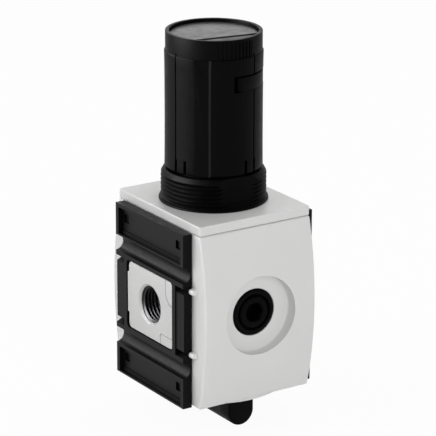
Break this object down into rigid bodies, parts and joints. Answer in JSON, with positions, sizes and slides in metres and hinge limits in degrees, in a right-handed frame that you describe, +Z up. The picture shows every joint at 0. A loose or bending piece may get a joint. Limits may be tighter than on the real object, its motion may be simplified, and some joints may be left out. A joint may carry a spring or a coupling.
{
  "type": "filling valve",
  "caption": "Modular pneumatic filling valve: moulded housing with threaded port blocks, clamp-profile side plates and a tall lockable adjusting knob.",
  "frame": {"origin": "on the valve's vertical axis, level with the lowest point of the grip bar under the housing", "axes": "+Z up along the spindle, towards the knob; +X along the flow, from the inlet port to the outlet port; -Y is the front"},
  "size_m": [0.052, 0.0594, 0.1365],
  "materials": {
    "shell": "light grey moulded polyamide, fine spark texture, satin",
    "port_casting": "light grey coated die-cast zinc, satin",
    "black_moulding": "black moulded polyamide, semi-gloss",
    "knob_cap": "black moulded plastic, fine grain",
    "seal": "black nitrile rubber",
    "brass": "turned",
    "piston_alloy": "turned",
    "steel": "bright drawn"
  },
  "bodies": {
    "root": {"housing": "shell", "top_cover": "shell", "left_side_plate": "black_moulding", "right_side_plate": "black_moulding", "inlet_port_block": "port_casting", "outlet_port_block": "port_casting", "inlet_port_seal": "seal", "outlet_port_seal": "seal", "front_gauge_plug": "black_moulding", "rear_gauge_plug": "black_moulding", "front_gauge_seal": "seal", "rear_gauge_seal": "seal", "closing_plug": "black_moulding", "closing_plug_seal": "seal", "valve_seat": "brass", "filling_nozzle": "brass", "guide_seal": "seal", "bonnet": "black_moulding"},
    "piston_stack": {"valve_stem": "steel", "seal_retainer": "brass", "poppet_seal": "seal", "poppet": "brass", "spacer_sleeve": "brass", "piston": "piston_alloy", "piston_seal": "seal", "stem_nut": "steel", "adjusting_spring": "steel"},
    "spring_nut": {"spring_nut": "brass"},
    "spindle": {"spindle": "steel", "thrust_washer": "brass", "spindle_clip": "steel", "knob_screw": "steel"},
    "knob": {"knob": "black_moulding", "lock_slide": "black_moulding", "knob_cap": "knob_cap", "knob_window": "knob_cap"}
  },
  "joints": [
    {"name": "spindle_turn", "type": "hinge", "parent": "root", "child": "spindle", "pos_m": [0, 0, 0], "axis": [0, 0, 1], "range_deg": [-1440, 0]},
    {"name": "knob_pull", "type": "slide", "parent": "spindle", "child": "knob", "axis": [0, 0, 1], "range_m": [0, 0.0035]},
    {"name": "spring_nut_travel", "type": "slide", "parent": "root", "child": "spring_nut", "axis": [0, 0, 1], "range_m": [-0.006, 0], "deforming": ["adjusting_spring"]},
    {"name": "piston_lift", "type": "slide", "parent": "root", "child": "piston_stack", "axis": [0, 0, 1], "range_m": [0, 0.003], "stiffness_N_per_m": 2500, "springref_m": -0.006, "deforming": ["adjusting_spring"]}
  ],
  "couplings": [
    {"joint": "spindle_turn", "follows": "spring_nut_travel", "rad_per_m": 4188.7}
  ]
}
